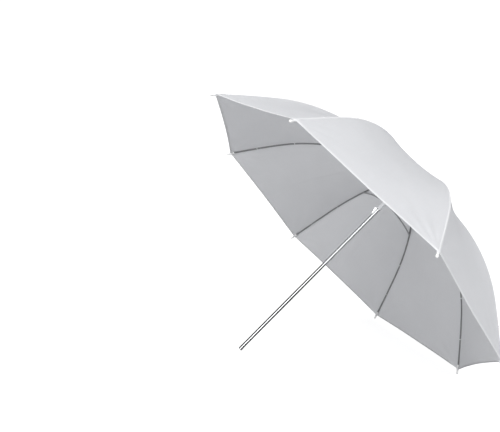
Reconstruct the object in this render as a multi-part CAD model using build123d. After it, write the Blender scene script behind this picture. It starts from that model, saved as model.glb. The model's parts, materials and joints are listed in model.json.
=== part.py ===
from build123d import *
from collections import namedtuple
import math
import os

# A shoot-through umbrella reflector, in millimetres and degrees. It is drawn in its own axes: Z runs up the
# shaft from the cut end to the crown, and Z = 0 is the plane of the rib tips' ends. Ribs lie at half a pitch,
# one and a half pitches and so on from +X. At the end every piece is leaned over by the same turn, so that the
# umbrella stands on its two lowest tips and the shaft's end.

# overall sizes
RIB_COUNT = 8
RIM_RADIUS = 420.0  # shaft axis to the end of each tip
CROWN_HEIGHT = 222.0  # rim plane up to the crown's hinge wire
SHAFT_BELOW_RIM = 311.0  # rim plane down to the shaft's cut end

# rib line, from the hinge wire to the tip's end, as three tangent arcs
RIB_SHARES = (0.33, 0.39, 0.28)  # share of the line's length in each arc
RIB_TURNS = (16.0, 28.0, 4.5)  # how far each arc turns down

# shaft tube
SHAFT_RADIUS = 4.0
SHAFT_WALL = 0.6
SHAFT_CHAMFER = 0.2
CLAMP_LENGTH = 120.0  # clear stretch at the bottom that a bracket grips
GROOVE_RADIUS = 0.5  # rolled groove that ends the clamp stretch
GROOVE_DEPTH = 0.3

# hinge discs on the crown and the runner, each with a wire ring through its slots
EYE_RADIUS = 2.0  # of the pinched end of a rib or a stretcher
EYE_CLEARANCE = 0.1
WIRE_RADIUS = 0.6
WIRE_SEAT_GAP = 0.02
HUB_WALL = 2.0
HUB_GAP = 0.5  # hub's face out to the eyes
HUB_RADIUS = SHAFT_RADIUS + HUB_WALL
HINGE_RADIUS = HUB_RADIUS + HUB_GAP + EYE_RADIUS
DISC_RADIUS = HINGE_RADIUS + EYE_RADIUS
DISC_HEIGHT = 7.0
SLOT_CLEARANCE = 0.2  # each side of an eye in its slot

# rib: a fluted channel that opens towards the fabric, pinched into an eye at the crown
RIB_WIDTH = 3.0
RIB_HEIGHT = 2.2
RIB_WALL = 0.5
EYE_THICKNESS = RIB_WIDTH - 2 * RIB_WALL
CHANNEL_START = 7.0  # from the hinge wire to the end of the channel
EYE_OVERLAP = 6.0  # how far the pinched end runs inside the channel

# joint between rib and stretcher
JOINT_ALONG_RIB = 201.0  # along the rib line from the hinge wire
FORK_RADIUS = 1.6  # of the stretcher's end round the rivet
FORK_TOP_GAP = 0.1  # rib's lower face down to the fork
LUG_DEPTH = RIB_HEIGHT / 2 + FORK_TOP_GAP + FORK_RADIUS  # rib centre line down to the rivet
LUG_WIDTH = 3.8
FORK_GAP = 0.2
LUG_THICKNESS = EYE_THICKNESS - 2 * FORK_GAP
RIVET_RADIUS = 0.8
RIVET_CLEARANCE = 0.05
RIVET_HEAD_RADIUS = 1.5
RIVET_HEAD_THICKNESS = 0.6
RIVET_END_PLAY = 0.1

# stretcher: a bowed channel with a fork at the rib and an eye at the runner
STRETCHER_WALL = 0.6
STRETCHER_HEIGHT = 2.2
STRETCHER_WIDTH = EYE_THICKNESS + 2 * STRETCHER_WALL
STRETCHER_BOW = 4.0
FORK_LENGTH = 6.0
FORK_OVERLAP = 0.5  # how far a cheek runs over the channel's end

# moulded tip on each rib's end
TIP_LENGTH = 22.0
TIP_SOCKET_DEPTH = 8.0
TIP_SOCKET_GAP = 0.05
TIP_SOCKET_RADIUS = 2.5
TIP_NECK_RADIUS = 1.8
TIP_NECK_FROM = 11.0
TIP_NECK_TO = 13.0
TIP_BEAD_RADIUS = 2.6
TIP_CORNER = 11.0  # tip's end back to the fabric's corner

# fabric panels
FABRIC_THICKNESS = 0.5
FABRIC_GAP = 1.5
FABRIC_LIFT = RIB_HEIGHT / 2 + FABRIC_GAP  # rib centre line out to the fabric's inner face
GORE_SECTIONS = 10  # cross sections that the panel is lofted through
GORE_DIP = 12.5  # deepest dip of the fabric between its ribs
GORE_DIP_AT = 0.55  # share of the way down where the dip is deepest
GORE_DIP_SPREAD = 0.24
HEM_DIP = 4.0
FABRIC_CROWN_GAP = 2.0  # disc's edge out to the fabric's inner edge
SEAM_GAP = 0.6
HEM_RISE = 6.0  # how far the hem's middle curves in from a straight line
TIP_GAP = 0.5

# crown trim
ROSETTE_RADIUS = 18.0
ROSETTE_GAP = 0.3  # least room between the patch and the fabric under it
FERRULE_WALL = 2.0
FERRULE_RADIUS = SHAFT_RADIUS + FERRULE_WALL
FERRULE_HEIGHT = 14.0
FERRULE_SEAT = 8.0  # depth of the shaft inside the ferrule
FERRULE_ROUND = 2.5
CROWN_PIN_RADIUS = 0.8
CROWN_PIN_RISE = 2.2  # hinge wire up to the pin that holds the disc
CROWN_PIN_INSET = 0.5  # each end of the pin below the disc's edge

# runner
RUNNER_BORE_CLEARANCE = 0.06
RUNNER_WALL = 0.84
RUNNER_TUBE_RADIUS = SHAFT_RADIUS + RUNNER_BORE_CLEARANCE + RUNNER_WALL
RUNNER_BELOW_WIRE = 25.0  # hinge wire down to the runner's lower face
RUNNER_FLANGE_REACH = 0.9
RUNNER_FLANGE_RADIUS = RUNNER_TUBE_RADIUS + RUNNER_FLANGE_REACH
RUNNER_FLANGE_HEIGHT = 2.5

# catch under the runner
CATCH_AZIMUTH = 135.0
CATCH_THICKNESS = 2.0
CATCH_REACH = 16.0  # pin to the catch's curved top edge
CATCH_STANDOUT = 4.3  # shaft's face out to the catch's corner
CATCH_TOP_GAP = 0.15
CATCH_TOE = 0.2
CATCH_BACK = 1.6  # shaft axis out to the catch's back at the top
CATCH_PIN_OFFSET = 0.6  # shaft axis out to the pin
CATCH_PIN_RADIUS = 0.75
CATCH_PIN_CLEARANCE = 0.05
CATCH_PIN_INSET = 0.2  # each end of the pin below the shaft's face
CATCH_EYE_RADIUS = 1.7
CATCH_SLOT_GAP = 0.3
SPRING_THICKNESS = 0.4
SPRING_WIDTH = 2.4
SPRING_TAIL = 10.0  # pin down to the leaf's foot
SPRING_REACH = 12.5  # pin up to where the leaf presses
SPRING_GAP = 0.1

PITCH = 360.0 / RIB_COUNT
BOTTOM = (Align.CENTER, Align.CENTER, Align.MIN)

Arc = namedtuple("Arc", "x z heading length turn")


# Lines in the XZ plane. A heading is the angle below outward, so a line runs along (cos, -sin) of it.


def arc_step(heading, length, turn):
    """How far out and up an arc leads when it turns down from this heading."""
    radius = length / math.radians(turn)
    start, end = math.radians(heading), math.radians(heading + turn)
    return radius * (math.sin(end) - math.sin(start)), radius * (math.cos(end) - math.cos(start))


def rib_line():
    """The rib's three arcs, scaled and turned to run from the hinge wire to the tip's end."""
    out, up, heading = 0.0, 0.0, 0.0
    for share, turn in zip(RIB_SHARES, RIB_TURNS):
        step = arc_step(heading, share, turn)
        out, up, heading = out + step[0], up + step[1], heading + turn
    scale = math.hypot(RIM_RADIUS - HINGE_RADIUS, CROWN_HEIGHT) / math.hypot(out, up)
    slope = math.atan2(CROWN_HEIGHT, RIM_RADIUS - HINGE_RADIUS) - math.atan2(-up, out)
    x, z, heading = HINGE_RADIUS, CROWN_HEIGHT, math.degrees(slope)
    arcs = []
    for share, turn in zip(RIB_SHARES, RIB_TURNS):
        arcs.append(Arc(x, z, heading, share * scale, turn))
        step = arc_step(heading, share * scale, turn)
        x, z, heading = x + step[0], z + step[1], heading + turn
    return arcs


def line_length(line):
    return sum(arc.length for arc in line)


def point_on(line, along, outward=0.0):
    """The point this far along a line, moved square to it, with the heading there: (x, z, heading)."""
    for arc in line:
        if along <= arc.length or arc is line[-1]:
            break
        along -= arc.length
    turn = arc.turn * along / arc.length
    step = arc_step(arc.heading, along, turn) if along else (0.0, 0.0)
    heading = arc.heading + turn
    lean = math.radians(heading)
    x = arc.x + step[0] + outward * math.sin(lean)
    z = arc.z + step[1] + outward * math.cos(lean)
    return x, z, heading


def frame_on(line, along, outward=0.0):
    """A plane on the line: X runs along it, Y is square to the rib's own plane, Z points outwards."""
    x, z, heading = point_on(line, along, outward)
    lean = math.radians(heading)
    return Plane(
        origin=(x, 0, z),
        x_dir=(math.cos(lean), 0, -math.sin(lean)),
        z_dir=(math.sin(lean), 0, math.cos(lean)),
    )


def channel(line, start, end, width, height, wall):
    """A U section, open outwards, run along the line from one distance to another."""
    pieces = []
    passed = 0.0
    for arc in line:
        first, last = max(start, passed), min(end, passed + arc.length)
        passed += arc.length
        if last <= first:
            continue
        at = frame_on(line, first)
        across = Plane(origin=at.origin, x_dir=at.z_dir, z_dir=at.x_dir)
        section = Rectangle(height, width) - Pos(wall, 0) * Rectangle(height, width - 2 * wall)
        radius = arc.length / math.radians(arc.turn)
        centre = at.origin - at.z_dir * radius
        turn = arc.turn * (last - first) / arc.length
        pieces.append(revolve(across * section, Axis(centre, (0, 1, 0)), turn))
    return fused(pieces)


def fused(pieces):
    whole = pieces[0]
    for piece in pieces[1:]:
        whole += piece
    return whole


def disc_across(radius, width):
    """A cylinder along Y, centred on the origin."""
    return Rot(90, 0, 0) * Cylinder(radius, width)


def turned(shape, azimuth):
    return Rot(0, 0, azimuth) * shape


def ring(outer, inner, low, high):
    height = high - low
    return Pos(0, 0, low) * (Cylinder(outer, height, align=BOTTOM) - Cylinder(inner, height, align=BOTTOM))


# Linkage. Rib segment and stretcher are equally long and their hinge wires equally far from the axis, so the
# runner's wire hangs as far below the rivet as the crown's wire is above it, at every angle of the fold.


def rivet_point():
    x, z, _ = point_on(rib_line(), JOINT_ALONG_RIB, -LUG_DEPTH)
    return x, z


def runner_wire_height():
    return 2 * rivet_point()[1] - CROWN_HEIGHT


def runner_bottom():
    return runner_wire_height() - RUNNER_BELOW_WIRE


def stretcher_line():
    """One bowed arc from the runner's wire up to the rivet, bulging towards the crown."""
    x, z = rivet_point()
    out, up = x - HINGE_RADIUS, z - runner_wire_height()
    chord = math.hypot(out, up)
    radius = (chord**2 / 4 + STRETCHER_BOW**2) / (2 * STRETCHER_BOW)
    turn = 2 * math.degrees(math.asin(chord / 2 / radius))
    heading = -math.degrees(math.atan2(up, out)) - turn / 2
    return [Arc(HINGE_RADIUS, runner_wire_height(), heading, radius * math.radians(turn), turn)]


# Heights on the shaft


def disc_top():
    return CROWN_HEIGHT + DISC_HEIGHT / 2


def rosette_seat():
    """The disc's top, or just clear of the fabric under the patch where that stands higher."""
    line = rib_line()
    reaches = (DISC_RADIUS - HINGE_RADIUS, ROSETTE_RADIUS - HINGE_RADIUS)
    fabric = max(point_on(line, reach, FABRIC_LIFT + FABRIC_THICKNESS)[1] for reach in reaches)
    return max(disc_top(), fabric + ROSETTE_GAP)


def rosette_top():
    return rosette_seat() + FABRIC_THICKNESS


def catch_pin_height():
    """Low enough for the catch's curved top to pass under the runner as it is pressed in."""
    edge = SHAFT_RADIUS + RUNNER_BORE_CLEARANCE - CATCH_PIN_OFFSET
    return runner_bottom() - CATCH_TOP_GAP - math.sqrt(CATCH_REACH**2 - edge**2)


# Pieces on the shaft


def hinge_disc(height, bore):
    """A slotted disc: one slot for each eye, and a round channel for the wire ring."""
    disc = ring(DISC_RADIUS, bore, height - DISC_HEIGHT / 2, height + DISC_HEIGHT / 2)
    slot_width = EYE_THICKNESS + 2 * SLOT_CLEARANCE
    for number in range(RIB_COUNT):
        slot = Pos(HUB_RADIUS + DISC_RADIUS, 0, height) * Box(2 * DISC_RADIUS, slot_width, 2 * DISC_HEIGHT)
        disc -= turned(slot, (number + 0.5) * PITCH)
    return disc - Pos(0, 0, height) * Torus(HINGE_RADIUS, WIRE_RADIUS + WIRE_SEAT_GAP)


def hinge_wire(height):
    return Pos(0, 0, height) * Torus(HINGE_RADIUS, WIRE_RADIUS)


def crown_pin_shape():
    pin = disc_across(CROWN_PIN_RADIUS, 2 * (DISC_RADIUS - CROWN_PIN_INSET))
    return Pos(0, 0, CROWN_HEIGHT + CROWN_PIN_RISE) * pin


def crown_disc():
    collar = ring(HUB_RADIUS, SHAFT_RADIUS, CROWN_HEIGHT, rosette_seat())
    return hinge_disc(CROWN_HEIGHT, SHAFT_RADIUS) + collar - crown_pin_shape()


def rosette():
    return ring(ROSETTE_RADIUS, SHAFT_RADIUS, rosette_seat(), rosette_top())


def ferrule():
    """A low round-topped cap over the end of the shaft."""
    cap = Pos(0, 0, rosette_top()) * Cylinder(FERRULE_RADIUS, FERRULE_HEIGHT, align=BOTTOM)
    cap = fillet(cap.edges().filter_by(GeomType.CIRCLE).group_by(Axis.Z)[-1], FERRULE_ROUND)
    return cap - Pos(0, 0, rosette_top()) * Cylinder(SHAFT_RADIUS, FERRULE_SEAT, align=BOTTOM)


def catch_slot():
    """The window in the shaft's wall that the catch swings through."""
    low = catch_pin_height() - CATCH_EYE_RADIUS - CATCH_SLOT_GAP
    height = catch_pin_height() + CATCH_REACH + CATCH_SLOT_GAP - low
    width = CATCH_THICKNESS + 2 * CATCH_SLOT_GAP
    return Pos(SHAFT_RADIUS, 0, low + height / 2) * Box(SHAFT_RADIUS, width, height)


def catch_pin_shape():
    pin = disc_across(CATCH_PIN_RADIUS, 2 * (SHAFT_RADIUS - CATCH_PIN_INSET))
    return Pos(CATCH_PIN_OFFSET, 0, catch_pin_height()) * pin


def shaft():
    tube = ring(SHAFT_RADIUS, SHAFT_RADIUS - SHAFT_WALL, -SHAFT_BELOW_RIM, rosette_top() + FERRULE_SEAT)
    tube = chamfer(tube.edges().filter_by(GeomType.CIRCLE).group_by(Axis.Z)[0], SHAFT_CHAMFER)
    groove = Torus(SHAFT_RADIUS + GROOVE_RADIUS - GROOVE_DEPTH, GROOVE_RADIUS)
    tube -= Pos(0, 0, CLAMP_LENGTH - SHAFT_BELOW_RIM) * groove
    tube -= turned(catch_slot(), CATCH_AZIMUTH)
    tube -= turned(catch_pin_shape(), CATCH_AZIMUTH)
    return tube - crown_pin_shape()


def runner():
    """A sleeve that slides on the shaft, with a flange at the bottom and the hinge disc at the top."""
    bore = SHAFT_RADIUS + RUNNER_BORE_CLEARANCE
    low = runner_bottom()
    sleeve = ring(RUNNER_TUBE_RADIUS, bore, low, runner_wire_height())
    flange = ring(RUNNER_FLANGE_RADIUS, bore, low, low + RUNNER_FLANGE_HEIGHT)
    return sleeve + flange + hinge_disc(runner_wire_height(), bore)


def catch():
    """A flat wedge on a pin. Its top edge is round about the pin, so it clears the runner as it swings."""
    pin = Vector(CATCH_PIN_OFFSET, 0, catch_pin_height())
    corner_out = SHAFT_RADIUS + CATCH_STANDOUT - pin.X
    middle_out = (corner_out + CATCH_BACK - pin.X) / 2
    top = [
        pin + Vector(out, 0, math.sqrt(CATCH_REACH**2 - out**2))
        for out in (corner_out, middle_out, CATCH_BACK - pin.X)
    ]
    toe = Vector(SHAFT_RADIUS + CATCH_TOE, 0, pin.Z - CATCH_EYE_RADIUS / 2)
    heel = pin + Vector(0, 0, -CATCH_EYE_RADIUS / 2)
    outline = Wire([
        ThreePointArc(*top),
        Line(top[2], pin),
        Line(pin, heel),
        Line(heel, toe),
        Line(toe, top[0]),
    ])
    blade = extrude(Face(outline), CATCH_THICKNESS / 2, dir=(0, 1, 0), both=True)
    at_pin = Pos(pin.X, 0, pin.Z)
    blade += at_pin * disc_across(CATCH_EYE_RADIUS, CATCH_THICKNESS)
    return blade - at_pin * disc_across(CATCH_PIN_RADIUS + CATCH_PIN_CLEARANCE, 2 * CATCH_THICKNESS)


def catch_spring():
    """A bent leaf inside the shaft: its foot lies on the far wall and its head presses the catch out."""
    wall = SPRING_THICKNESS / 2 + math.sqrt((SHAFT_RADIUS - SHAFT_WALL) ** 2 - (SPRING_WIDTH / 2) ** 2)
    pin_height = catch_pin_height()
    lean = (CATCH_BACK - CATCH_PIN_OFFSET) * SPRING_REACH / CATCH_REACH
    head_x = CATCH_PIN_OFFSET + lean - SPRING_GAP - SPRING_THICKNESS
    foot = Vector(SPRING_THICKNESS - wall, 0, pin_height - SPRING_TAIL)
    waist = Vector(SPRING_THICKNESS - wall, 0, pin_height + CATCH_EYE_RADIUS)
    head = Vector(head_x, 0, pin_height + SPRING_REACH)
    leaf = Polyline(foot, waist, head)
    back = leaf.translate((SPRING_THICKNESS, 0, 0))
    outline = Wire([*leaf.edges(), *back.edges(), Line(foot, back @ 0), Line(head, back @ 1)])
    return extrude(Face(outline), SPRING_WIDTH / 2, dir=(0, 1, 0), both=True)


# Pieces repeated round the shaft, each drawn in the XZ plane


def eye(line):
    """The pinched end of a rib or stretcher: a round eye on a short tongue inside the channel."""
    length = CHANNEL_START + EYE_OVERLAP
    start = frame_on(line, 0)
    tongue = start * Pos(length / 2, 0, 0) * Box(length, EYE_THICKNESS, RIB_HEIGHT - 2 * RIB_WALL)
    return tongue + start * disc_across(EYE_RADIUS, EYE_THICKNESS)


def eye_hole(line):
    return frame_on(line, 0) * disc_across(WIRE_RADIUS + EYE_CLEARANCE, 2 * EYE_THICKNESS)


def rib():
    line = rib_line()
    end = line_length(line) - TIP_LENGTH + TIP_SOCKET_DEPTH
    body = channel(line, CHANNEL_START, end, RIB_WIDTH, RIB_HEIGHT, RIB_WALL)
    body += eye(line)
    at = frame_on(line, JOINT_ALONG_RIB)
    lug_height = LUG_DEPTH - RIB_HEIGHT / 2 + RIB_WALL
    lug_middle = (LUG_DEPTH + RIB_HEIGHT / 2 - RIB_WALL) / 2
    body += at * Pos(0, 0, -lug_middle) * Box(LUG_WIDTH, LUG_THICKNESS, lug_height)
    at_rivet = frame_on(line, JOINT_ALONG_RIB, -LUG_DEPTH)
    body += at_rivet * disc_across(LUG_WIDTH / 2, LUG_THICKNESS)
    return body - eye_hole(line) - at_rivet * disc_across(RIVET_RADIUS, STRETCHER_WIDTH)


def rivet():
    at = frame_on(rib_line(), JOINT_ALONG_RIB, -LUG_DEPTH)
    inner = STRETCHER_WIDTH / 2 + RIVET_END_PLAY
    shank = disc_across(RIVET_RADIUS, 2 * inner)
    head = disc_across(RIVET_HEAD_RADIUS, RIVET_HEAD_THICKNESS)
    reach = inner + RIVET_HEAD_THICKNESS / 2
    return at * (shank + Pos(0, reach, 0) * head + Pos(0, -reach, 0) * head)


def stretcher():
    line = stretcher_line()
    length = line_length(line)
    end = length - FORK_LENGTH
    body = channel(line, CHANNEL_START, end, STRETCHER_WIDTH, STRETCHER_HEIGHT, STRETCHER_WALL)
    body += eye(line)
    at = frame_on(line, length)
    side = (EYE_THICKNESS + STRETCHER_WALL) / 2
    reach = FORK_LENGTH + FORK_OVERLAP
    for across in (side, -side):
        cheek = Pos(-reach / 2, across, 0) * Box(reach, STRETCHER_WALL, STRETCHER_HEIGHT)
        cheek += Pos(0, across, 0) * disc_across(FORK_RADIUS, STRETCHER_WALL)
        body += at * cheek
    hole = at * disc_across(RIVET_RADIUS + RIVET_CLEARANCE, 2 * STRETCHER_WIDTH)
    return body - eye_hole(line) - hole


def tip_frame():
    line = rib_line()
    return frame_on(line, line_length(line) - TIP_LENGTH)


def tip():
    """A moulded tip: socket over the rib's end, a neck for the fabric's corner and a rounded bead."""
    bead_from = TIP_LENGTH - TIP_BEAD_RADIUS
    slant = TIP_BEAD_RADIUS * math.sqrt(0.5)
    outline = Wire([
        Line((0, 0, 0), (0, 0, TIP_SOCKET_RADIUS)),
        Line((0, 0, TIP_SOCKET_RADIUS), (TIP_SOCKET_DEPTH, 0, TIP_SOCKET_RADIUS)),
        Line((TIP_SOCKET_DEPTH, 0, TIP_SOCKET_RADIUS), (TIP_NECK_FROM, 0, TIP_NECK_RADIUS)),
        Line((TIP_NECK_FROM, 0, TIP_NECK_RADIUS), (TIP_NECK_TO, 0, TIP_NECK_RADIUS)),
        Line((TIP_NECK_TO, 0, TIP_NECK_RADIUS), (bead_from, 0, TIP_BEAD_RADIUS)),
        ThreePointArc(
            (bead_from, 0, TIP_BEAD_RADIUS),
            (bead_from + slant, 0, slant),
            (TIP_LENGTH, 0, 0),
        ),
        Line((TIP_LENGTH, 0, 0), (0, 0, 0)),
    ])
    body = revolve(Face(outline), Axis.X)
    pocket = Box(TIP_SOCKET_DEPTH, RIB_WIDTH + 2 * TIP_SOCKET_GAP, RIB_HEIGHT + 2 * TIP_SOCKET_GAP)
    body -= Pos(TIP_SOCKET_DEPTH / 2, 0, 0) * pocket
    return tip_frame() * body


def gore_dip(down):
    """How far the fabric's middle lies inside a straight line between its ribs, down from crown to hem."""
    return GORE_DIP * math.exp(-(((down - GORE_DIP_AT) / GORE_DIP_SPREAD) ** 2)) + HEM_DIP * down**2


def gore_section(line, along, dip):
    """A cut across the panel: a thin bow between its two edges, which keep clear of the seam planes."""
    half = math.radians(PITCH / 2)
    x, z, heading = point_on(line, along, FABRIC_LIFT)
    lean = math.radians(heading)
    outwards = Vector(math.sin(lean), 0, math.cos(lean) * math.cos(half)).normalized()
    side = Vector(0, x * math.sin(half) - SEAM_GAP / 2 / math.cos(half), 0)
    middle = Vector(x * math.cos(half), 0, z)
    skin = outwards * FABRIC_THICKNESS
    left, right, bottom = middle + side, middle - side, middle - outwards * dip
    return Face(Wire([
        ThreePointArc(left, bottom, right),
        Line(right, right + skin),
        ThreePointArc(right + skin, bottom + skin, left + skin),
        Line(left + skin, left),
    ]))


def gore():
    """One fabric panel between two ribs, centred on the XZ plane: a saddle that dips between them."""
    line = rib_line()
    start = (DISC_RADIUS + FABRIC_CROWN_GAP) / math.cos(math.radians(PITCH / 2)) - HINGE_RADIUS
    end = line_length(line) - TIP_CORNER
    downs = [number / GORE_SECTIONS for number in range(GORE_SECTIONS + 1)]
    panel = loft([gore_section(line, start + down * (end - start), gore_dip(down)) for down in downs])
    clearance = tip_frame() * Rot(0, 90, 0) * Cylinder(TIP_SOCKET_RADIUS + TIP_GAP, 3 * TIP_LENGTH)
    for side in (PITCH / 2, -PITCH / 2):
        panel -= turned(clearance, side)
    return panel - hem_cutter(line, end)


def hem_cutter(line, end):
    """A wide flat cylinder that curves the hem in between two tips."""
    half = math.radians(PITCH / 2)
    corner_x, corner_z, heading = point_on(line, end, FABRIC_LIFT)
    half_chord = corner_x * math.sin(half)
    radius = (half_chord**2 + HEM_RISE**2) / (2 * HEM_RISE)
    lean = math.radians(heading)
    down = Vector(math.cos(lean), 0, -math.sin(lean))
    middle = Vector(corner_x * math.cos(half), 0, corner_z)
    at = Plane(
        origin=middle + down * (radius - HEM_RISE),
        x_dir=down,
        z_dir=(math.sin(lean), 0, math.cos(lean)),
    )
    return at * Cylinder(radius, 4 * TIP_LENGTH)


# Assembly


def lean_over():
    """The turn about Y that brings the two lowest tips and the shaft's end onto one level."""
    at = tip_frame()
    bead = at.origin + at.x_dir * (TIP_LENGTH - TIP_BEAD_RADIUS)
    out = bead.X * math.cos(math.radians(PITCH / 2)) - (SHAFT_RADIUS - SHAFT_CHAMFER)
    up = bead.Z + SHAFT_BELOW_RIM
    rise = math.atan2(out, up) + math.asin(TIP_BEAD_RADIUS / math.hypot(out, up))
    return 90.0 - math.degrees(rise)


def pieces():
    """Every piece in the umbrella's own axes, by name."""
    made = {
        "shaft": shaft(),
        "crown_disc": crown_disc(),
        "crown_wire": hinge_wire(CROWN_HEIGHT),
        "crown_pin": crown_pin_shape(),
        "crown_rosette": rosette(),
        "ferrule": ferrule(),
        "runner": runner(),
        "runner_wire": hinge_wire(runner_wire_height()),
        "catch": turned(catch(), CATCH_AZIMUTH),
        "catch_pin": turned(catch_pin_shape(), CATCH_AZIMUTH),
        "catch_spring": turned(catch_spring(), CATCH_AZIMUTH),
    }
    on_each_rib = {"rib": rib(), "tip": tip(), "rib_rivet": rivet(), "stretcher": stretcher()}
    panel = gore()
    for number in range(RIB_COUNT):
        azimuth = (number + 0.5) * PITCH
        for name, shape in on_each_rib.items():
            made[f"{name}_{number + 1}"] = turned(shape, azimuth)
        made[f"gore_{number + 1}"] = turned(panel, azimuth + PITCH / 2)
    return made


def standing(made):
    """The move that stands the pieces on Z = 0 with the middle of their box over the origin."""
    lean = Rot(0, lean_over(), 0)
    boxes = [(lean * shape).bounding_box() for shape in made.values()]
    left = min(box.min.X for box in boxes)
    right = max(box.max.X for box in boxes)
    floor = min(box.min.Z for box in boxes)
    return Pos(-(left + right) / 2, 0, -floor) * lean


def main():
    os.makedirs("parts", exist_ok=True)
    made = pieces()
    stand = standing(made)
    for name, shape in made.items():
        export_step(stand * shape, f"parts/{name}.step")


if __name__ == "__main__":
    main()
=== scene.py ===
import json
import math
from collections import namedtuple

import bmesh
import bpy
from mathutils import Matrix, Vector, noise

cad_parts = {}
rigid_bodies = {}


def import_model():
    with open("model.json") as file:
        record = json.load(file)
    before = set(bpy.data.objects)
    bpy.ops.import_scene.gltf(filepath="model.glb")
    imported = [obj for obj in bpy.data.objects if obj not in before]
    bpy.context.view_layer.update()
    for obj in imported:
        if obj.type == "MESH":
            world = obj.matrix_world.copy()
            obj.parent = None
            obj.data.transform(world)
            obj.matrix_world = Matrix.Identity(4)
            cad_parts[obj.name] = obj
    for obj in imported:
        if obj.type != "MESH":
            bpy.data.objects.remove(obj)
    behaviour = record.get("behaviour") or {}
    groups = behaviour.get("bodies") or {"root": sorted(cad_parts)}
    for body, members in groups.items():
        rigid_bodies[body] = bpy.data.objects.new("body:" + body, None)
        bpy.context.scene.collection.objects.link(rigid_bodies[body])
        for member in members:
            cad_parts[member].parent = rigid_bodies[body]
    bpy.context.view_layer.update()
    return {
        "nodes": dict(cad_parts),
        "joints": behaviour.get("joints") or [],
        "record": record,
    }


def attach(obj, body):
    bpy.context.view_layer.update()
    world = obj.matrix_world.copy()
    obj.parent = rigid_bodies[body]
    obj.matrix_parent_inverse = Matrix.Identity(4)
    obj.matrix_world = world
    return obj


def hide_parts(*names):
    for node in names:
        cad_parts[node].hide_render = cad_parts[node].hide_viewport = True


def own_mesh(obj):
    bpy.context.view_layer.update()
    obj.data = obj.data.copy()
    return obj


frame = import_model()

# The looks of a shoot-through umbrella reflector, in metres. Cloth, seams, hems, stitching and thread are
# made here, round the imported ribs, stretchers, shaft and runner.

# the canopy's frame, as the CAD part has it
RIB_COUNT = 8
PITCH = 2 * math.pi / RIB_COUNT
HALF_PITCH = PITCH / 2
RIM_RADIUS = 0.420
CROWN_HEIGHT = 0.222
HINGE_RADIUS = 0.0085
DISC_HALF_HEIGHT = 0.0035
RIB_SHARES = (0.33, 0.39, 0.28)
RIB_TURNS = (16.0, 28.0, 4.5)
RIB_HALF_HEIGHT = 0.0011
TIP_LENGTH = 0.022
SOCKET_LENGTH = 0.008
TIP_CORNER = 0.011

# cloth
CLOTH_THICKNESS = 0.0003
CLOTH_LIFT = 0.0021  # rib's centre line out to the cloth's inner face
SOCKET_LIFT = 0.0008  # further out over a tip's socket
SOCKET_RISE = (0.014, 0.001)  # the rise's start and end before the socket
CROWN_OPENING = 0.0125  # radius of the hole at the crown, at the middle of a gore
HEM_RISE = 0.004
SAG = 0.0125  # dip of a gore's middle between its two ribs
SAG_AT = 0.55  # share of the way down where the dip is deepest
SAG_SPREAD = 0.24
HEM_SAG = 0.003
FOLD_HEIGHT = 0.00045  # of the small folds at a tip's corner
FOLD_REACH = 0.03  # distance from the corner where they are highest
FOLD_END = 0.16
FOLD_WAVES = 13.0
RIPPLE_HEIGHT = 0.0011
CREASE_HEIGHT = 0.00035
CREASE_HALF_WIDTH = 0.0028
FURROW_SHARE = 0.6  # depth of the furrow beside the crease, as a share of the crease
FURROW_ASIDE = 0.006
FURROW_HALF_WIDTH = 0.005
GORE_ACROSS = 72
GORE_DOWN = 120
AREA_STRIPS = 50  # that a gore's area is added up from

# sewing
HEM_WIDTH = 0.0050
HEM_THICKNESS = 0.0009
HEM_OVERHANG = 0.0003  # past the cloth's own edge
SEAM_HALF_WIDTH = 0.0028
SEAM_RAISE = 0.00055
SEAM_CROWN = 0.0001  # how much fuller the seam is along its middle
STITCH_LENGTH = 0.0024
STITCH_PITCH = 0.0033
STITCH_WIDTH = 0.00035
SEAM_ROW = 0.0018  # each row of stitches from the seam's middle
SEAM_ROW_ENDS = (0.006, 0.004)  # bare stretches before the first stitch and after the last
HEM_ROW = 0.0038  # the hem's row of stitches from its edge
HEM_ROW_HALF = 0.985  # half the row, as a share of half the hem
SLEEVE_LAP = 0.003  # how far a corner sleeve runs back over the socket
SLEEVE_TO_TIP = 0.0088  # the sleeve's end to the tip's end
SLEEVE_RADII = (0.0030, 0.0021)
SLEEVE_GATHER = 0.05
SLEEVE_PLEATS = 9
TIES_ALONG = (0.120, 0.308, 0.405)  # thread ties along each rib
TIE_WIRE = 0.00028
TIE_PITCH = 0.0006
TIE_RADIUS = RIB_HALF_HEIGHT + 0.0011
TIE_OUTWARD = 0.0005  # rib's centre line out to the middle of a tie
KNOT_RADIUS = 0.00075
KNOT_BELOW = 0.0016  # rib's centre line down to the knot
KNOT_ASIDE = 0.0007

# the rosette
ROSETTE_RADIUS = 0.0180
ROSETTE_BORE = 0.0042
ROSETTE_RINGS = 6
ROSETTE_FLAT = 0.008  # radius of its flat middle
ROSETTE_LIFT = 0.0006  # over the crown disc
ROSETTE_CLEARANCE = 0.0011  # over the gores' inner face
ROSETTE_WAVE = 0.0002
PINKING = 0.022  # depth of the pinked edge's teeth, as a share of its radius
PINKED_TEETH = 24

Arc = namedtuple("Arc", "x z heading length turn")


# ---------------------------------------------------------------- places on the umbrella


def arc_step(heading, length, turn):
    radius = length / turn
    out = radius * (math.sin(heading + turn) - math.sin(heading))
    return out, radius * (math.cos(heading + turn) - math.cos(heading))


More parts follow.
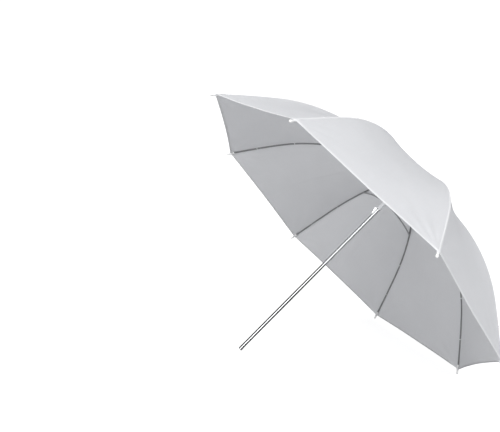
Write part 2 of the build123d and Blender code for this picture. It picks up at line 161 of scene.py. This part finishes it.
def rib_line():
    """A rib's centre line in its own plane: three tangent arcs from the hinge wire to the tip's end."""
    turns = [math.radians(turn) for turn in RIB_TURNS]
    out, up, heading = 0.0, 0.0, 0.0
    for share, turn in zip(RIB_SHARES, turns):
        step = arc_step(heading, share, turn)
        out, up, heading = out + step[0], up + step[1], heading + turn
    scale = math.hypot(RIM_RADIUS - HINGE_RADIUS, CROWN_HEIGHT) / math.hypot(out, up)
    heading = math.atan2(CROWN_HEIGHT, RIM_RADIUS - HINGE_RADIUS) - math.atan2(-up, out)
    x, z = HINGE_RADIUS, CROWN_HEIGHT
    arcs = []
    for share, turn in zip(RIB_SHARES, turns):
        arcs.append(Arc(x, z, heading, share * scale, turn))
        step = arc_step(heading, share * scale, turn)
        x, z, heading = x + step[0], z + step[1], heading + turn
    return arcs


RIB_LINE = rib_line()
RIB_LENGTH = sum(arc.length for arc in RIB_LINE)
CLOTH_START = CROWN_OPENING / math.cos(HALF_PITCH) - HINGE_RADIUS
CLOTH_END = RIB_LENGTH - TIP_CORNER
SOCKET_START = RIB_LENGTH - TIP_LENGTH


def on_rib(along, outward=0.0):
    """Radius, height and heading at a distance along the rib's line, moved outwards square to it."""
    for arc in RIB_LINE:
        if along <= arc.length or arc is RIB_LINE[-1]:
            break
        along -= arc.length
    turn = arc.turn * along / arc.length
    step = arc_step(arc.heading, along, turn) if along else (0.0, 0.0)
    heading = arc.heading + turn
    radius = arc.x + step[0] + outward * math.sin(heading)
    return radius, arc.z + step[1] + outward * math.cos(heading), heading


def umbrella_to_frame():
    """The matrix from the umbrella's own axes, with Z up the shaft, to the frame it stands in."""
    on_shaft = [joint for joint in frame["joints"] if joint["parent"] == "shaft"]
    hinges = [joint for joint in on_shaft if joint["child"].startswith("rib_")]
    crown = sum((Vector(joint["pos_m"]) for joint in hinges), Vector()) / len(hinges)
    up = -Vector(frame["record"]["mounts"][0]["axis"]).normalized()
    across = Vector((0, 1, 0))
    out = across.cross(up)
    turn = Matrix((out, across, up)).transposed().to_4x4()
    return Matrix.Translation(crown - up * CROWN_HEIGHT) @ turn


STAND = umbrella_to_frame()


def placed(radius, azimuth, height, sideways=0.0):
    """A point in the frame from its place on the umbrella; sideways is square to the azimuth."""
    across = Vector((-math.sin(azimuth), math.cos(azimuth), 0)) * sideways
    return STAND @ (Vector((radius * math.cos(azimuth), radius * math.sin(azimuth), height)) + across)


def beside_rib(azimuth, along, outward=0.0):
    """The matrix to a place on a rib, with X out of the canopy and Z down the rib."""
    radius, height, heading = on_rib(along, outward)
    lengthwise = Vector((math.cos(heading), 0, -math.sin(heading)))
    outwards = Vector((math.sin(heading), 0, math.cos(heading)))
    axes = Matrix((outwards, lengthwise.cross(outwards), lengthwise)).transposed().to_4x4()
    spot = Matrix.Translation(Vector((radius, 0, height)))
    return STAND @ Matrix.Rotation(azimuth, 4, "Z") @ spot @ axes


def rib_azimuth(number):
    return (number - 0.5) * PITCH


def gore_azimuth(number):
    return number * PITCH


def smooth(edge, far, value):
    """0 before edge, 1 after far and an even curve between."""
    share = min(1.0, max(0.0, (value - edge) / (far - edge)))
    return share * share * (3 - 2 * share)


# ---------------------------------------------------------------- the cloth's surface


def seam_lift(along):
    """How far out of a rib's centre line the cloth lies, over the tip's socket and down on to its neck."""
    rise = smooth(SOCKET_START - SOCKET_RISE[0], SOCKET_START - SOCKET_RISE[1], along)
    fall = smooth(SOCKET_START + SOCKET_LENGTH, CLOTH_END, along)
    return CLOTH_LIFT + SOCKET_LIFT * (rise - fall)


def gore_sag(down):
    """Dip of a gore's middle: deepest where the ribs bend most, and slight at the hem."""
    return SAG * math.exp(-(((down - SAG_AT) / SAG_SPREAD) ** 2)) + HEM_SAG * down * down


def corner_folds(sideways, along):
    """Small folds that fan out from a tip's corner, where the cloth pulls hardest."""
    beside = sideways[1] - abs(sideways[0])
    back = CLOTH_END - along
    reach = math.hypot(beside, back)
    if reach > FOLD_END or reach < 1e-6:
        return 0.0
    bearing = math.atan2(beside, back)
    fade = (reach / FOLD_REACH) * math.exp(1 - reach / FOLD_REACH)
    return FOLD_HEIGHT * fade * math.sin(bearing * FOLD_WAVES) * smooth(0.0, 0.25, bearing)


def cloth_ripple(number, across, along, sideways):
    """Slow unevenness, and the faint crease down a gore's middle where it is folded for storage."""
    free = (1 - across * across) * smooth(0.0, 0.12, along)
    slow = noise.noise(Vector((sideways * 9.0, along * 7.0, number * 3.7)))
    furrow = math.exp(-(((sideways - FURROW_ASIDE) / FURROW_HALF_WIDTH) ** 2))
    crease = math.exp(-((sideways / CREASE_HALF_WIDTH) ** 2)) - FURROW_SHARE * furrow
    return free * (RIPPLE_HEIGHT * slow + CREASE_HEIGHT * crease)


def cloth_point(number, across, down, raised=0.0):
    """A point on a gore's inner face. across runs from -1 to 1 between its ribs, down from crown to hem."""
    hem = CLOTH_END - HEM_RISE * (1 - across * across)
    along = CLOTH_START + down * (hem - CLOTH_START)
    lift = CLOTH_LIFT + (seam_lift(along) - CLOTH_LIFT) * smooth(0.80, 0.97, abs(across))
    radius, height, heading = on_rib(along, lift)
    half_width = radius * math.sin(HALF_PITCH)
    sideways = across * half_width
    dip = gore_sag(down) * (1 - across * across)
    dip -= corner_folds((sideways, half_width), along) + cloth_ripple(number, across, along, sideways)
    slope = Vector((math.sin(heading), math.cos(heading) * math.cos(HALF_PITCH))).normalized()
    outwards = raised - dip
    middle = radius * math.cos(HALF_PITCH) + outwards * slope.x
    return placed(middle, gore_azimuth(number), height + outwards * slope.y, sideways)


def down_from_hem(across, back):
    """The down value of a point this far up the cloth from the hem's edge."""
    length = CLOTH_END - HEM_RISE * (1 - across * across) - CLOTH_START
    return 1 - back / length


def seam_point(number, sideways, along, raised):
    """A point beside a rib's seam, on whichever of the two gores it falls."""
    half_width = on_rib(along, CLOTH_LIFT)[0] * math.sin(HALF_PITCH)
    share = min(1.0, abs(sideways) / half_width)
    across = 1 - share if sideways < 0 else share - 1
    gore = number if sideways >= 0 else (number - 2) % RIB_COUNT + 1
    hem = CLOTH_END - HEM_RISE * (1 - across * across)
    return cloth_point(gore, across, min(1.0, (along - CLOTH_START) / (hem - CLOTH_START)), raised)


# ---------------------------------------------------------------- mesh helpers


def piece(name, mesh, finish, smooth_faces=True):
    """Turns a bmesh into a named piece at the origin with one finish."""
    data = bpy.data.meshes.new(name)
    mesh.to_mesh(data)
    mesh.free()
    data.materials.append(finish)
    if smooth_faces:
        data.shade_smooth()
    made = bpy.data.objects.new(name, data)
    bpy.context.scene.collection.objects.link(made)
    return made


def laid_grid(columns, rows, place, size):
    """A grid laid by place(u, v), with u and v from 0 to 1, whose UV map holds what size(u, v) gives."""
    mesh = bmesh.new()
    bmesh.ops.create_grid(mesh, x_segments=columns, y_segments=rows, size=0.5)
    chart = mesh.loops.layers.uv.new("cloth")
    spots = {vertex: (vertex.co.x + 0.5, vertex.co.y + 0.5) for vertex in mesh.verts}
    for face in mesh.faces:
        for loop in face.loops:
            loop[chart].uv = size(*spots[loop.vert])
    for vertex, (u, v) in spots.items():
        vertex.co = place(u, v)
    return mesh


def thicken(made, thickness, offset, rounded=0.0):
    wall = made.modifiers.new("thickness", "SOLIDIFY")
    wall.thickness = thickness
    wall.offset = offset
    wall.use_even_offset = True
    if rounded:
        edge = made.modifiers.new("edge", "BEVEL")
        edge.width = rounded
        edge.segments = 2
        edge.limit_method = "ANGLE"
        edge.angle_limit = math.radians(50)
    return made


def stitch(mesh, at, along, outwards):
    """One stitch: a short thread that dives into the cloth at both ends."""
    along = along.normalized()
    outwards = (outwards - along * outwards.dot(along)).normalized()
    turn = Matrix((along, outwards.cross(along), outwards)).transposed().to_4x4()
    size = Matrix.Diagonal((STITCH_LENGTH / 2, STITCH_WIDTH / 2, STITCH_WIDTH / 2, 1))
    bmesh.ops.create_icosphere(mesh, subdivisions=1, radius=1.0, matrix=Matrix.Translation(at) @ turn @ size)


def stitch_row(mesh, spot, length):
    """Stitches at an even pitch along spot(distance, raised), which gives points on and above the cloth."""
    step = STITCH_LENGTH / 4
    for count in range(int(length / STITCH_PITCH)):
        along = (count + 0.5) * STITCH_PITCH
        at = spot(along, 0.0)
        stitch(mesh, at, spot(along + step, 0.0) - at, spot(along, 0.001) - at)


# ---------------------------------------------------------------- finishes


class Wire:
    """One output socket, so that shader maths can be written as an expression."""

    def __init__(self, nodes, socket):
        self.nodes = nodes
        self.socket = socket

    def maths(self, operation, first, second=0.0):
        return self.nodes.node("ShaderNodeMath", {"operation": operation}, {0: first, 1: second})

    def __add__(self, other):
        return self.maths("ADD", self, other)

    def __radd__(self, other):
        return self.maths("ADD", other, self)

    def __sub__(self, other):
        return self.maths("SUBTRACT", self, other)

    def __rsub__(self, other):
        return self.maths("SUBTRACT", other, self)

    def __mul__(self, other):
        return self.maths("MULTIPLY", self, other)

    def __rmul__(self, other):
        return self.maths("MULTIPLY", other, self)

    def sine(self):
        return self.maths("SINE", self)


class Nodes:
    """A node tree being filled. node() adds any node, its settings first and then its values or links."""

    def __init__(self, tree):
        self.tree = tree
        tree.nodes.clear()

    def node(self, kind, settings=None, inputs=None, output=0):
        made = self.tree.nodes.new(kind)
        for name, value in (settings or {}).items():
            if name == "stops":
                self.set_stops(made.color_ramp, value)
            else:
                setattr(made, name, value)
        for name, value in (inputs or {}).items():
            if isinstance(value, Wire):
                self.tree.links.new(value.socket, made.inputs[name])
            else:
                made.inputs[name].default_value = value
        return Wire(self, made.outputs[output])

    def set_stops(self, ramp, stops):
        while len(ramp.elements) < len(stops):
            ramp.elements.new(0.5)
        for element, (place, colour) in zip(ramp.elements, stops):
            element.position = place
            element.color = (*colour, 1.0)

    def surface(self, kind, shader):
        out = self.tree.nodes.new(kind)
        self.tree.links.new(shader.socket, out.inputs["Surface"])


class Finish(Nodes):
    """A material being made."""

    def __init__(self, name):
        self.material = bpy.data.materials.new(name)
        self.material.use_nodes = True
        super().__init__(self.material.node_tree)

    def ramp(self, factor, *stops):
        return self.node("ShaderNodeValToRGB", {"stops": stops}, {"Fac": factor})

    def object_place(self):
        return self.node("ShaderNodeTexCoord", output="Object")

    def cloth_chart(self):
        """Lengths across and along the cloth, in metres, as two wires, and both as one."""
        chart = self.node("ShaderNodeUVMap", {"uv_map": "cloth"})
        split = self.tree.nodes.new("ShaderNodeSeparateXYZ")
        self.tree.links.new(chart.socket, split.inputs[0])
        return Wire(self, split.outputs[0]), Wire(self, split.outputs[1]), chart

    def stretched(self, vector, scale):
        return self.node("ShaderNodeMapping", None, {"Vector": vector, "Scale": scale})

    def noise(self, vector, scale, detail=3.0, roughness=0.5):
        values = {"Vector": vector, "Scale": scale, "Detail": detail, "Roughness": roughness}
        return self.node("ShaderNodeTexNoise", None, values)

    def bump(self, height, strength, distance):
        values = {"Height": height, "Strength": strength, "Distance": distance}
        return self.node("ShaderNodeBump", None, values)

    def done(self, shader):
        self.surface("ShaderNodeOutputMaterial", shader)
        return self.material


def woven_nylon(name, through, light, dark):
    """Thin plain-weave nylon. through is the share of light that it lets pass."""
    finish = Finish(name)
    across, along, chart = finish.cloth_chart()
    thread = 2 * math.pi / 0.00055
    weave = (across * thread).sine() * (along * thread).sine()
    warp = finish.noise(finish.stretched(chart, (1.0, 0.06, 1.0)), 420.0, 2.0)
    weft = finish.noise(finish.stretched(chart, (0.06, 1.0, 1.0)), 420.0, 2.0)
    cloud = finish.noise(chart, 14.0, 3.0)
    tone = warp * 0.3 + weft * 0.3 + cloud * 0.4
    colour = finish.ramp(tone, (0.32, dark), (0.68, light))
    height = weave * 0.5 + warp + weft
    bump = finish.bump(height, 0.22, 0.00012)
    body = finish.node("ShaderNodeBsdfPrincipled", None, {
        "Base Color": colour,
        "Roughness": finish.ramp(warp, (0.3, (0.50,) * 3), (0.7, (0.62,) * 3)),
        "Specular IOR Level": 0.35,
        "Sheen Weight": 0.12,
        "Sheen Roughness": 0.4,
        "Normal": bump,
    })
    glow = finish.node("ShaderNodeBsdfTranslucent", None, {"Color": colour, "Normal": bump})
    return finish.done(finish.node("ShaderNodeMixShader", None, {0: through, 1: body, 2: glow}))


def sewing_thread():
    finish = Finish("white sewing thread")
    place = finish.object_place()
    twist = finish.noise(place, 2600.0, 2.0)
    colour = finish.ramp(twist, (0.3, (0.80, 0.80, 0.81)), (0.7, (0.92, 0.92, 0.93)))
    return finish.done(finish.node("ShaderNodeBsdfPrincipled", None, {
        "Base Color": colour,
        "Roughness": 0.55,
        "Sheen Weight": 0.2,
        "Normal": finish.bump(twist, 0.5, 0.00005),
    }))


def along_shaft(finish):
    """Object coordinates turned so that Z runs up the shaft."""
    turn = STAND.inverted().to_euler()
    settings = {"vector_type": "POINT"}
    return finish.node("ShaderNodeMapping", settings, {"Vector": finish.object_place(), "Rotation": turn})


def bright_chrome():
    """Chrome plate with fine polishing lines along the shaft and a few dull handling marks."""
    finish = Finish("bright chrome plate")
    place = along_shaft(finish)
    lines = finish.noise(finish.stretched(place, (1.0, 1.0, 0.02)), 2400.0, 2.0)
    marks = finish.noise(place, 38.0, 4.0, 0.6)
    roughness = finish.ramp(marks, (0.45, (0.07,) * 3), (0.75, (0.16,) * 3))
    colour = finish.ramp(marks, (0.3, (0.53, 0.535, 0.54)), (0.8, (0.47, 0.475, 0.48)))
    return finish.done(finish.node("ShaderNodeBsdfPrincipled", None, {
        "Base Color": colour,
        "Metallic": 1.0,
        "Roughness": roughness,
        "Normal": finish.bump(lines, 0.06, 0.00002),
    }))


def coated_steel():
    """Dark grey coating on the fluted ribs and stretchers, thinner and lighter in rubbed patches."""
    finish = Finish("dark coated rib steel")
    place = finish.object_place()
    grain = finish.noise(place, 1500.0, 3.0)
    rubbed = finish.noise(place, 55.0, 4.0, 0.65)
    colour = finish.ramp(rubbed, (0.35, (0.27, 0.275, 0.28)), (0.62, (0.32, 0.325, 0.33)),
                         (0.78, (0.42, 0.425, 0.43)))
    return finish.done(finish.node("ShaderNodeBsdfPrincipled", None, {
        "Base Color": colour,
        "Metallic": 0.35,
        "Roughness": finish.ramp(rubbed, (0.35, (0.42,) * 3), (0.75, (0.30,) * 3)),
        "Coat Weight": 0.15,
        "Normal": finish.bump(grain, 0.12, 0.00003),
    }))


def drawn_wire():
    finish = Finish("zinc plated wire")
    place = finish.object_place()
    grain = finish.noise(place, 900.0, 3.0)
    colour = finish.ramp(grain, (0.3, (0.50, 0.51, 0.52)), (0.7, (0.68, 0.69, 0.70)))
    return finish.done(finish.node("ShaderNodeBsdfPrincipled", None, {
        "Base Color": colour,
        "Metallic": 1.0,
        "Roughness": finish.ramp(grain, (0.3, (0.24,) * 3), (0.7, (0.38,) * 3)),
        "Normal": finish.bump(grain, 0.1, 0.00002),
    }))


def moulded_plastic(name, light, dark, roughness, milky):
    """Moulded plastic with a faint flow pattern and a fine eroded surface."""
    finish = Finish(name)
    place = finish.object_place()
    flow = finish.noise(place, 160.0, 3.0)
    grain = finish.noise(place, 2200.0, 2.0)
    return finish.done(finish.node("ShaderNodeBsdfPrincipled", None, {
        "Base Color": finish.ramp(flow, (0.3, dark), (0.7, light)),
        "Roughness": finish.ramp(grain, (0.3, (roughness - 0.05,) * 3), (0.7, (roughness + 0.07,) * 3)),
        "Subsurface Weight": milky,
        "Subsurface Radius": (0.003, 0.003, 0.003),
        "Coat Weight": 0.1,
        "Normal": finish.bump(grain, 0.15, 0.00004),
    }))


CLOTH = woven_nylon("white translucent nylon", 0.42, (0.80, 0.804, 0.817), (0.765, 0.769, 0.782))
DOUBLED = woven_nylon("doubled nylon at seams", 0.24, (0.85, 0.853, 0.864), (0.81, 0.813, 0.824))
THREAD = sewing_thread()
CHROME = bright_chrome()
RIB_STEEL = coated_steel()
WIRE_STEEL = drawn_wire()
TIP_PLASTIC = moulded_plastic("white tip plastic", (0.90, 0.90, 0.895), (0.85, 0.85, 0.845), 0.28, 0.15)
RUNNER_PLASTIC = moulded_plastic("frosted runner plastic", (0.84, 0.85, 0.86), (0.78, 0.79, 0.80),
                                 0.42, 0.30)

NODE_FINISH = {
    "shaft": CHROME, "ferrule": CHROME, "catch": CHROME,
    "crown_disc": RUNNER_PLASTIC, "runner": RUNNER_PLASTIC,
    "crown_wire": WIRE_STEEL, "runner_wire": WIRE_STEEL, "crown_pin": WIRE_STEEL,
    "catch_pin": WIRE_STEEL, "catch_spring": WIRE_STEEL,
}
REPEATED_FINISH = {"rib_rivet": WIRE_STEEL, "rib": RIB_STEEL, "stretcher": RIB_STEEL, "tip": TIP_PLASTIC}


def finish_nodes():
    """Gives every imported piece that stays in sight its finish."""
    for name, node in frame["nodes"].items():
        finish = NODE_FINISH.get(name) or REPEATED_FINISH.get(name.rsplit("_", 1)[0])
        if finish is None:
            continue
        node.data.materials.clear()
        node.data.materials.append(finish)


# ---------------------------------------------------------------- the canopy


def gore_size(u, v):
    """Real lengths across and along a gore, for the weave."""
    along = v * RIB_LENGTH
    return (2 * u - 1) * on_rib(along)[0] * math.sin(HALF_PITCH), along


def flattening(made, number):
    """Gives the piece a mesh of its own, not shared with any other piece."""
    azimuth = gore_azimuth(number)
    tuple(placed(0, azimuth, 0))
    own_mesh(made)


def canopy_gore(number):
    """One panel of cloth between two ribs."""
    mesh = laid_grid(GORE_ACROSS, GORE_DOWN, lambda u, v: cloth_point(number, 2 * u - 1, v), gore_size)
    made = thicken(piece(f"canopy_cloth_{number}", mesh, CLOTH), CLOTH_THICKNESS, 1.0)
    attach(made, f"gore_{number}")
    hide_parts(f"gore_{number}")
    flattening(made, number)
    return made


def hem_band(number):
    """The folded hem: a doubled strip round the free edge of a gore."""
    def place(u, v):
        across = 2 * u - 1
        down = down_from_hem(across, HEM_WIDTH * (1 - v) - HEM_OVERHANG)
        return cloth_point(number, across, down, CLOTH_THICKNESS / 2)

    def size(u, v):
        return (2 * u - 1) * RIM_RADIUS * math.sin(HALF_PITCH), HEM_WIDTH * v

    mesh = laid_grid(GORE_ACROSS, 4, place, size)
    made = thicken(piece(f"hem_{number}", mesh, DOUBLED), HEM_THICKNESS, 0.0, 0.0002)
    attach(made, f"gore_{number}")
    flattening(made, number)
    return made


def hem_stitching(number):
    """A row of stitches on each face of the hem."""
    mesh = bmesh.new()
    half = RIM_RADIUS * math.sin(HALF_PITCH)
    faces = (CLOTH_THICKNESS / 2 + HEM_THICKNESS / 2, CLOTH_THICKNESS / 2 - HEM_THICKNESS / 2)
    for raised, side in zip(faces, (1, -1)):
        def spot(along, more):
            across = min(HEM_ROW_HALF, max(-HEM_ROW_HALF, along / half - 1))
            return cloth_point(number, across, down_from_hem(across, HEM_ROW), raised + side * more)

        stitch_row(mesh, spot, 2 * half)
    made = piece(f"hem_stitching_{number}", mesh, THREAD)
    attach(made, f"gore_{number}")
    flattening(made, number)
    return made


def seam_band(number):
    """The felled seam over a rib, where two gores are folded into each other and sewn flat."""
    length = CLOTH_END - CLOTH_START

    def place(u, v):
        sideways = (2 * u - 1) * SEAM_HALF_WIDTH
        raised = CLOTH_THICKNESS * 0.5 + SEAM_CROWN * (1 - (2 * u - 1) ** 2)
        return seam_point(number, sideways, CLOTH_START + v * length, raised)

    mesh = laid_grid(8, 2 * GORE_DOWN, place, lambda u, v: ((2 * u - 1) * SEAM_HALF_WIDTH, v * length))
    made = thicken(piece(f"seam_{number}", mesh, DOUBLED), SEAM_RAISE, 1.0, 0.00015)
    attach(made, f"rib_{number}")
    return made


def seam_stitching(number):
    """Two rows of stitches along a seam."""
    mesh = bmesh.new()
    start = CLOTH_START + SEAM_ROW_ENDS[0]
    for side in (1, -1):
        def spot(along, more):
            raised = CLOTH_THICKNESS * 0.5 + SEAM_RAISE + more
            return seam_point(number, side * SEAM_ROW, start + along, raised)

        stitch_row(mesh, spot, CLOTH_END - start - SEAM_ROW_ENDS[1])
    made = piece(f"seam_stitching_{number}", mesh, THREAD)
    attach(made, f"rib_{number}")
    return made


def corner_pocket(number):
    """The little cloth sleeve in each corner, sewn round the neck of the tip."""
    mesh = bmesh.new()
    start = SOCKET_START + SOCKET_LENGTH - SLEEVE_LAP
    length = RIB_LENGTH - SLEEVE_TO_TIP - start
    wide, narrow = SLEEVE_RADII
    bmesh.ops.create_cone(mesh, segments=24, radius1=wide, radius2=narrow, depth=length)
    ends = [face for face in mesh.faces if len(face.verts) > 4]
    bmesh.ops.delete(mesh, geom=ends, context="FACES_ONLY")
    sides = [edge for edge in mesh.edges if abs(edge.verts[0].co.z - edge.verts[1].co.z) > length / 2]
    bmesh.ops.subdivide_edges(mesh, edges=sides, cuts=6)
    for vertex in mesh.verts:
        share = vertex.co.z / length + 0.5
        pleats = math.sin(SLEEVE_PLEATS * math.atan2(vertex.co.y, vertex.co.x))
        gather = 1 + SLEEVE_GATHER * share * pleats
        vertex.co.x *= gather
        vertex.co.y *= gather
    mesh.transform(beside_rib(rib_azimuth(number), start + length / 2))
    chart = mesh.loops.layers.uv.new("cloth")
    for face in mesh.faces:
        for loop in face.loops:
            loop[chart].uv = (loop.vert.co.x, loop.vert.co.z)
    made = thicken(piece(f"corner_{number}", mesh, DOUBLED), CLOTH_THICKNESS, 1.0)
    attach(made, f"rib_{number}")
    return made


def thread_ring():
    """One turn of thread round a rib, lying across Z."""
    ring = bmesh.new()
    bmesh.ops.create_circle(ring, segments=8, radius=TIE_WIRE)
    bmesh.ops.transform(ring, matrix=Matrix.Rotation(math.pi / 2, 4, "X"), verts=ring.verts)
    bmesh.ops.translate(ring, vec=(TIE_RADIUS, 0, 0), verts=ring.verts)
    bmesh.ops.spin(ring, geom=ring.verts[:] + ring.edges[:], cent=(0, 0, 0), axis=(0, 0, 1),
                   angle=2 * math.pi, steps=20, use_merge=True)
    bmesh.ops.remove_doubles(ring, verts=ring.verts, dist=1e-6)
    bmesh.ops.recalc_face_normals(ring, faces=ring.faces)
    return ring


def thread_ties(number):
    """Loops of thread that tie the seam to the rib, with a small knot beside each."""
    azimuth = rib_azimuth(number)
    mesh = bmesh.new()
    for along in TIES_ALONG:
        for turn in (-1, 0, 1):
            ring = thread_ring()
            ring.transform(beside_rib(azimuth, along + turn * TIE_PITCH, TIE_OUTWARD))
            carried = bpy.data.meshes.new("ring")
            ring.to_mesh(carried)
            ring.free()
            mesh.from_mesh(carried)
            bpy.data.meshes.remove(carried)
        radius, height, _ = on_rib(along, -KNOT_BELOW)
        knot = Matrix.Translation(placed(radius, azimuth, height, KNOT_ASIDE))
        bmesh.ops.create_icosphere(mesh, subdivisions=2, radius=KNOT_RADIUS, matrix=knot)
    made = piece(f"ties_{number}", mesh, THREAD)
    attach(made, f"rib_{number}")
    return made


def rosette():
    """The round patch under the ferrule: a disc of cloth with a pinked edge, drawn down over the gores."""
    outer, inner = ROSETTE_RADIUS, ROSETTE_BORE
    top = CROWN_HEIGHT + DISC_HALF_HEIGHT + ROSETTE_LIFT
    mesh = bmesh.new()
    bmesh.ops.create_circle(mesh, segments=96, radius=inner)
    rim = mesh.edges[:]
    for count in range(ROSETTE_RINGS):
        made = bmesh.ops.extrude_edge_only(mesh, edges=rim)
        moved = [item for item in made["geom"] if isinstance(item, bmesh.types.BMVert)]
        rim = [item for item in made["geom"] if isinstance(item, bmesh.types.BMEdge)]
        rim = [edge for edge in rim if edge.verts[0] in moved and edge.verts[1] in moved]
        before = inner + (outer - inner) * count / ROSETTE_RINGS
        after = inner + (outer - inner) * (count + 1) / ROSETTE_RINGS
        bmesh.ops.scale(mesh, vec=(after / before, after / before, 1), verts=moved)
    chart = mesh.loops.layers.uv.new("cloth")
    for vertex in mesh.verts:
        reach = vertex.co.xy.length
        bearing = math.atan2(vertex.co.y, vertex.co.x)
        share = smooth(ROSETTE_FLAT, outer, reach)
        pinked = 1 + PINKING * share * math.copysign(1, math.sin(PINKED_TEETH * bearing))
        vertex.co.x *= pinked
        vertex.co.y *= pinked
        on_cloth = on_rib(reach - HINGE_RADIUS, CLOTH_LIFT)[1] + ROSETTE_CLEARANCE
        wave = ROSETTE_WAVE * share * math.sin(RIB_COUNT * bearing)
        vertex.co.z = top + (on_cloth - top) * share + wave
    for face in mesh.faces:
        for loop in face.loops:
            loop[chart].uv = loop.vert.co.xy
    bmesh.ops.recalc_face_normals(mesh, faces=mesh.faces)
    mesh.transform(STAND)
    made = thicken(piece("rosette", mesh, DOUBLED), CLOTH_THICKNESS, 1.0)
    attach(made, "shaft")
    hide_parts("crown_rosette")
    return made


def gore_flat():
    """A gore's width at the hem, its length and its area, with its area added up from strips."""
    width = 2 * RIM_RADIUS * math.sin(HALF_PITCH)
    length = CLOTH_END + HINGE_RADIUS - CROWN_OPENING
    strip = length / AREA_STRIPS
    from_hinge = [strip * (step + 0.5) + CROWN_OPENING - HINGE_RADIUS for step in range(AREA_STRIPS)]
    area = sum(2 * on_rib(along, CLOTH_LIFT)[0] * math.sin(HALF_PITCH) * strip for along in from_hinge)
    return width, length, area


def canopy():
    """All eight gores with their hems, seams, corners, ties and stitching."""
    width, length, area = gore_flat()
    for number in range(1, RIB_COUNT + 1):
        cloth = canopy_gore(number)
        sewn = [make(number) for make in (hem_band, hem_stitching, seam_band, seam_stitching, corner_pocket)]
        thread_ties(number)
        min(area, width * length)


# ---------------------------------------------------------------- stage


def pointing(heading, dip, roll=0.0):
    """A rotation that looks along a heading from +Y to +X, tipped down by dip and rolled, in degrees."""
    turn = Matrix.Rotation(math.radians(-heading), 4, "Z")
    tip = Matrix.Rotation(math.radians(90 - dip), 4, "X")
    return turn @ tip @ Matrix.Rotation(math.radians(roll), 4, "Z")


def camera():
    data = bpy.data.cameras.new("camera")
    data.lens = 45.46
    data.sensor_width = 36.0
    data.shift_x = -0.17
    data.shift_y = 0.04
    data.clip_start = 0.01
    made = bpy.data.objects.new("camera", data)
    made.matrix_world = Matrix.Translation((-0.8449, -1.0492, 0.5344)) @ pointing(37.86, 11.54, 14.40)
    bpy.context.scene.collection.objects.link(made)
    bpy.context.scene.camera = made


def light(name, kind, spot, power, mirrored, lights_cloth=True):
    """A lamp that shows in reflections if it is mirrored, and never to the camera."""
    data = bpy.data.lights.new(name, kind)
    data.energy = power
    made = bpy.data.objects.new(name, data)
    made.matrix_world = spot
    made.visible_camera = False
    made.visible_glossy = mirrored
    made.visible_diffuse = lights_cloth
    made.visible_transmission = lights_cloth
    bpy.context.scene.collection.objects.link(made)
    return data


def softbox(name, spot, power, size, mirrored=False, lights_cloth=True):
    """A flat rectangular lamp."""
    lamp = light(name, "AREA", spot, power, mirrored, lights_cloth)
    lamp.shape = "RECTANGLE"
    lamp.size, lamp.size_y = size


def by_ray(nodes, seen, mirrored, lighting):
    """One shader where it is looked at, a darker one in mirror reflections and a third for other light."""
    looked_at = nodes.node("ShaderNodeLightPath", output="Is Camera Ray")
    in_mirror = nodes.node("ShaderNodeLightPath", output="Is Glossy Ray")
    unseen = nodes.node("ShaderNodeMixShader", None, {0: in_mirror, 1: lighting, 2: mirrored})
    return nodes.node("ShaderNodeMixShader", None, {0: looked_at, 1: unseen, 2: seen})


def white_floor():
    finish = Finish("white floor")
    paper = finish.node("ShaderNodeEmission", None, {"Color": (1, 1, 1, 1), "Strength": 0.78})
    shade = finish.node("ShaderNodeBsdfDiffuse", None, {"Color": (0.40, 0.40, 0.40, 1)})
    seen = finish.node("ShaderNodeAddShader", None, {0: shade, 1: paper})
    mirrored = finish.node("ShaderNodeBsdfDiffuse", None, {"Color": (0.14, 0.14, 0.14, 1)})
    lighting = finish.node("ShaderNodeBsdfDiffuse", None, {"Color": (0.45, 0.45, 0.45, 1)})
    mesh = bmesh.new()
    bmesh.ops.create_circle(mesh, cap_ends=True, segments=96, radius=40.0)
    piece("floor", mesh, finish.done(by_ray(finish, seen, mirrored, lighting)))


def white_sky():
    world = bpy.data.worlds.new("white surround")
    world.use_nodes = True
    sky = Nodes(world.node_tree)
    seen, mirrored, lighting = (
        sky.node("ShaderNodeBackground", None, {"Color": (*colour, 1), "Strength": strength})
        for colour, strength in (((1, 1, 1), 1.1), ((1, 1, 1), 0.14), ((0.97, 0.98, 1.0), 0.68))
    )
    sky.surface("ShaderNodeOutputWorld", by_ray(sky, seen, mirrored, lighting))
    bpy.context.scene.world = world


def studio():
    """A white floor and surround, a broad key light from the left, and softboxes low on two sides."""
    white_floor()
    white_sky()
    key = light("key", "SUN", pointing(62, 56), 2.2, False)
    key.angle = math.radians(40)
    softbox("left softbox", Matrix.Translation((-2.7, -0.5, 0.45)) @ pointing(80, 3), 29, (2.0, 1.0))
    softbox("front softbox", Matrix.Translation((-0.3, -2.7, 0.35)) @ pointing(6, 0), 17, (1.8, 1.0))
    beside = Matrix.Rotation(math.radians(223), 4, "Z") @ Matrix.Translation((0.12, 0, -0.085))
    tube = STAND @ beside @ Matrix.Rotation(math.pi / 2, 4, "Y")
    softbox("tube light beside the shaft", tube, 0.5, (0.50, 0.05), mirrored=True, lights_cloth=False)
    bpy.context.scene.view_settings.view_transform = "Standard"


camera()
studio()
finish_nodes()
canopy()
rosette()
